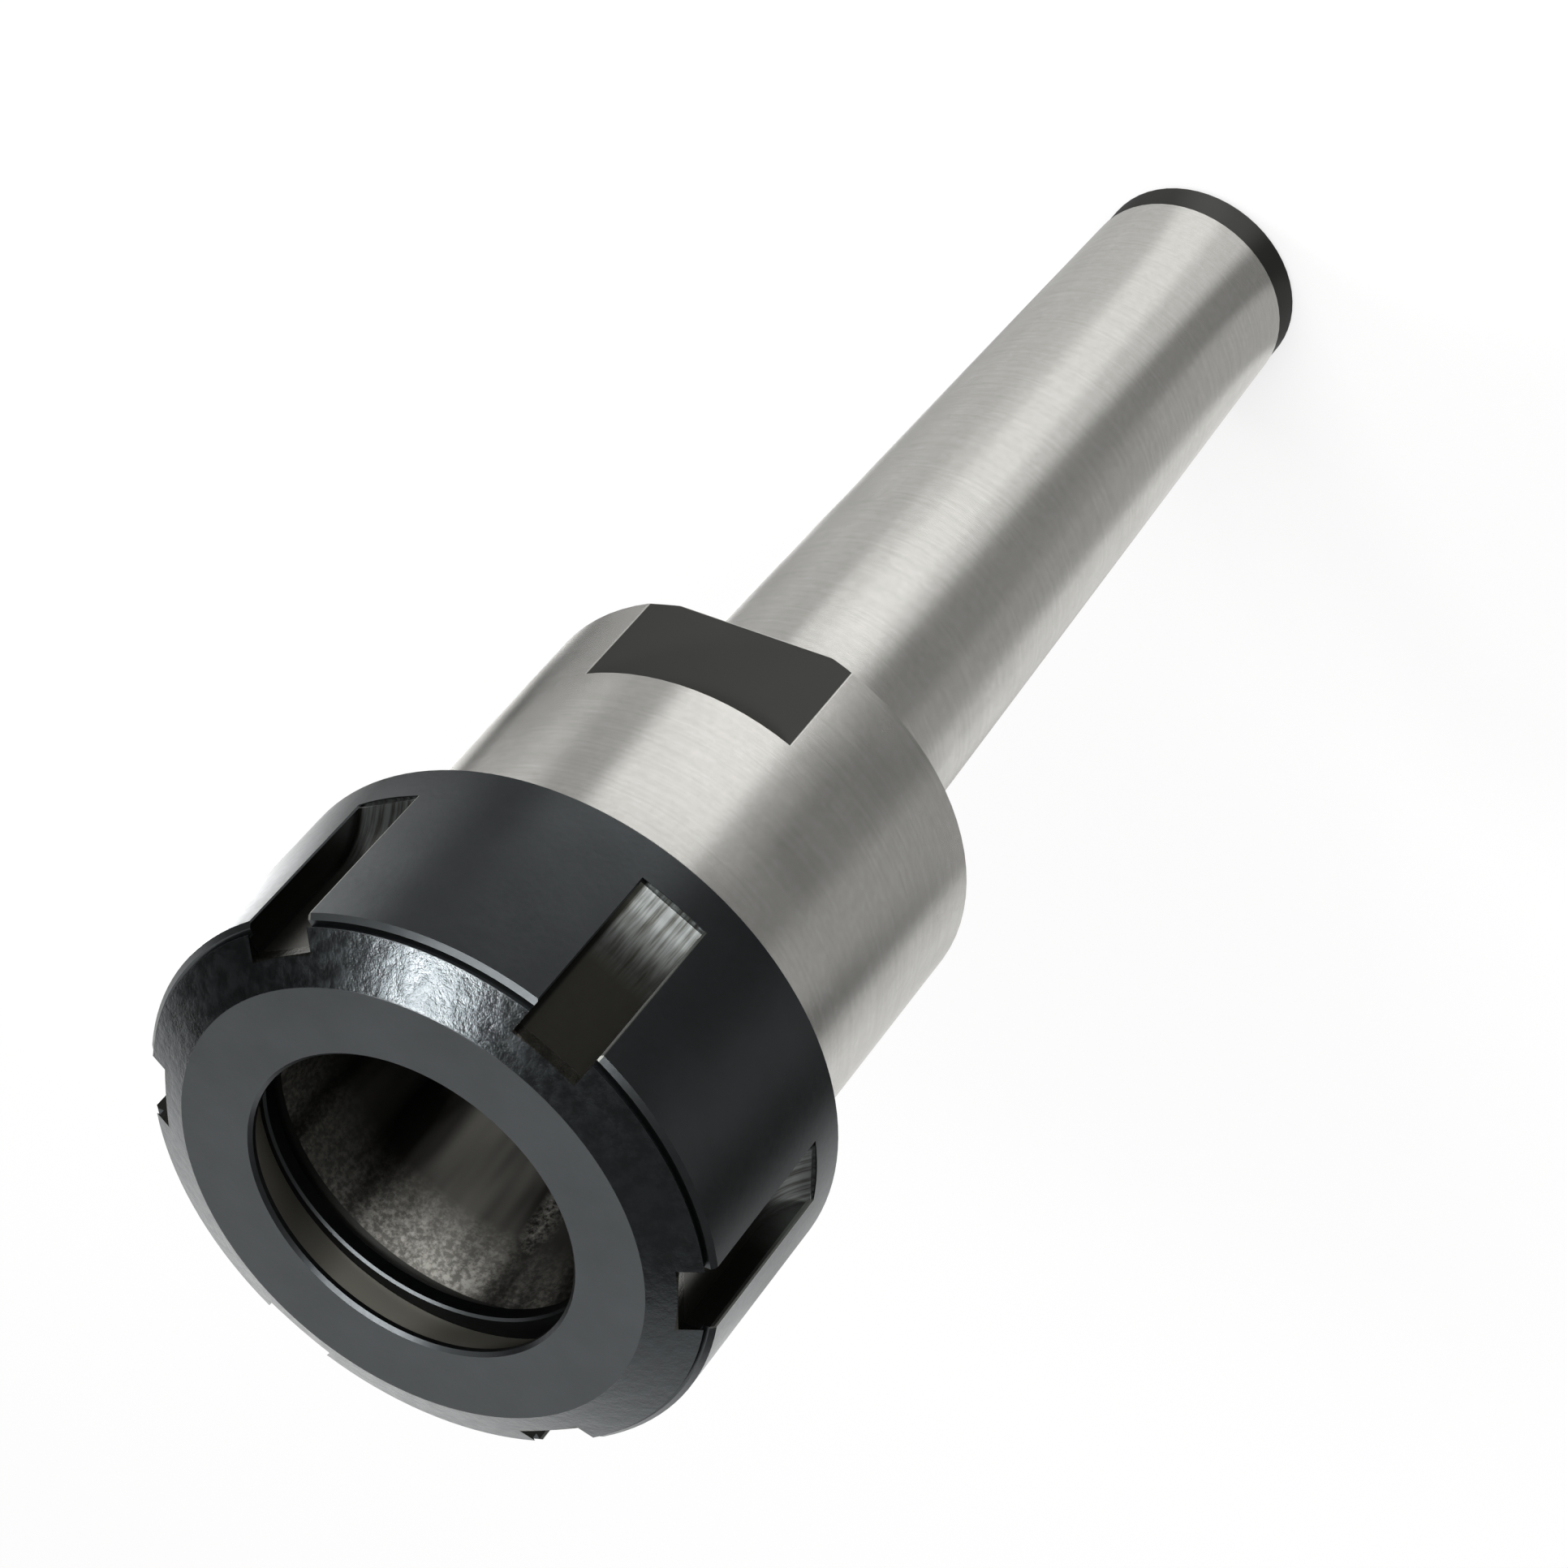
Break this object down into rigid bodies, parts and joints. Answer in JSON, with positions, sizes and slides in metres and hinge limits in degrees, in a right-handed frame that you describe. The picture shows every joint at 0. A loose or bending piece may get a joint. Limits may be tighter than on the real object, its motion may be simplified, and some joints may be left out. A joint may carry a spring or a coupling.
{
  "type": "collet chuck holder",
  "caption": "Collet chuck holder: a self-holding taper shank with a conical collet socket in its body, and a slotted clamping nut that turns on its nose.",
  "frame": {"origin": "centre of the shank's small end face, on the spindle axis", "axes": "+Z along the spindle axis from the shank's small end to the nut; the two spanner flats of the body face -Y and +Y; one spanner slot of the nut is centred on +X"},
  "size_m": [0.05, 0.05, 0.1431],
  "materials": {
    "ground_steel": "cylindrically ground, bright, with fine marks round the axis; flats and end band black",
    "black_oxide_steel": "hardened steel with a satin black oxide finish"
  },
  "bodies": {
    "holder": {"chuck_body": "ground_steel"},
    "nut": {"clamping_nut": "black_oxide_steel"}
  },
  "joints": [
    {"name": "nut_turn", "type": "hinge", "parent": "holder", "child": "nut", "pos_m": [0, 0, 0.132], "axis": [0, 0, 1], "continuous": true}
  ]
}
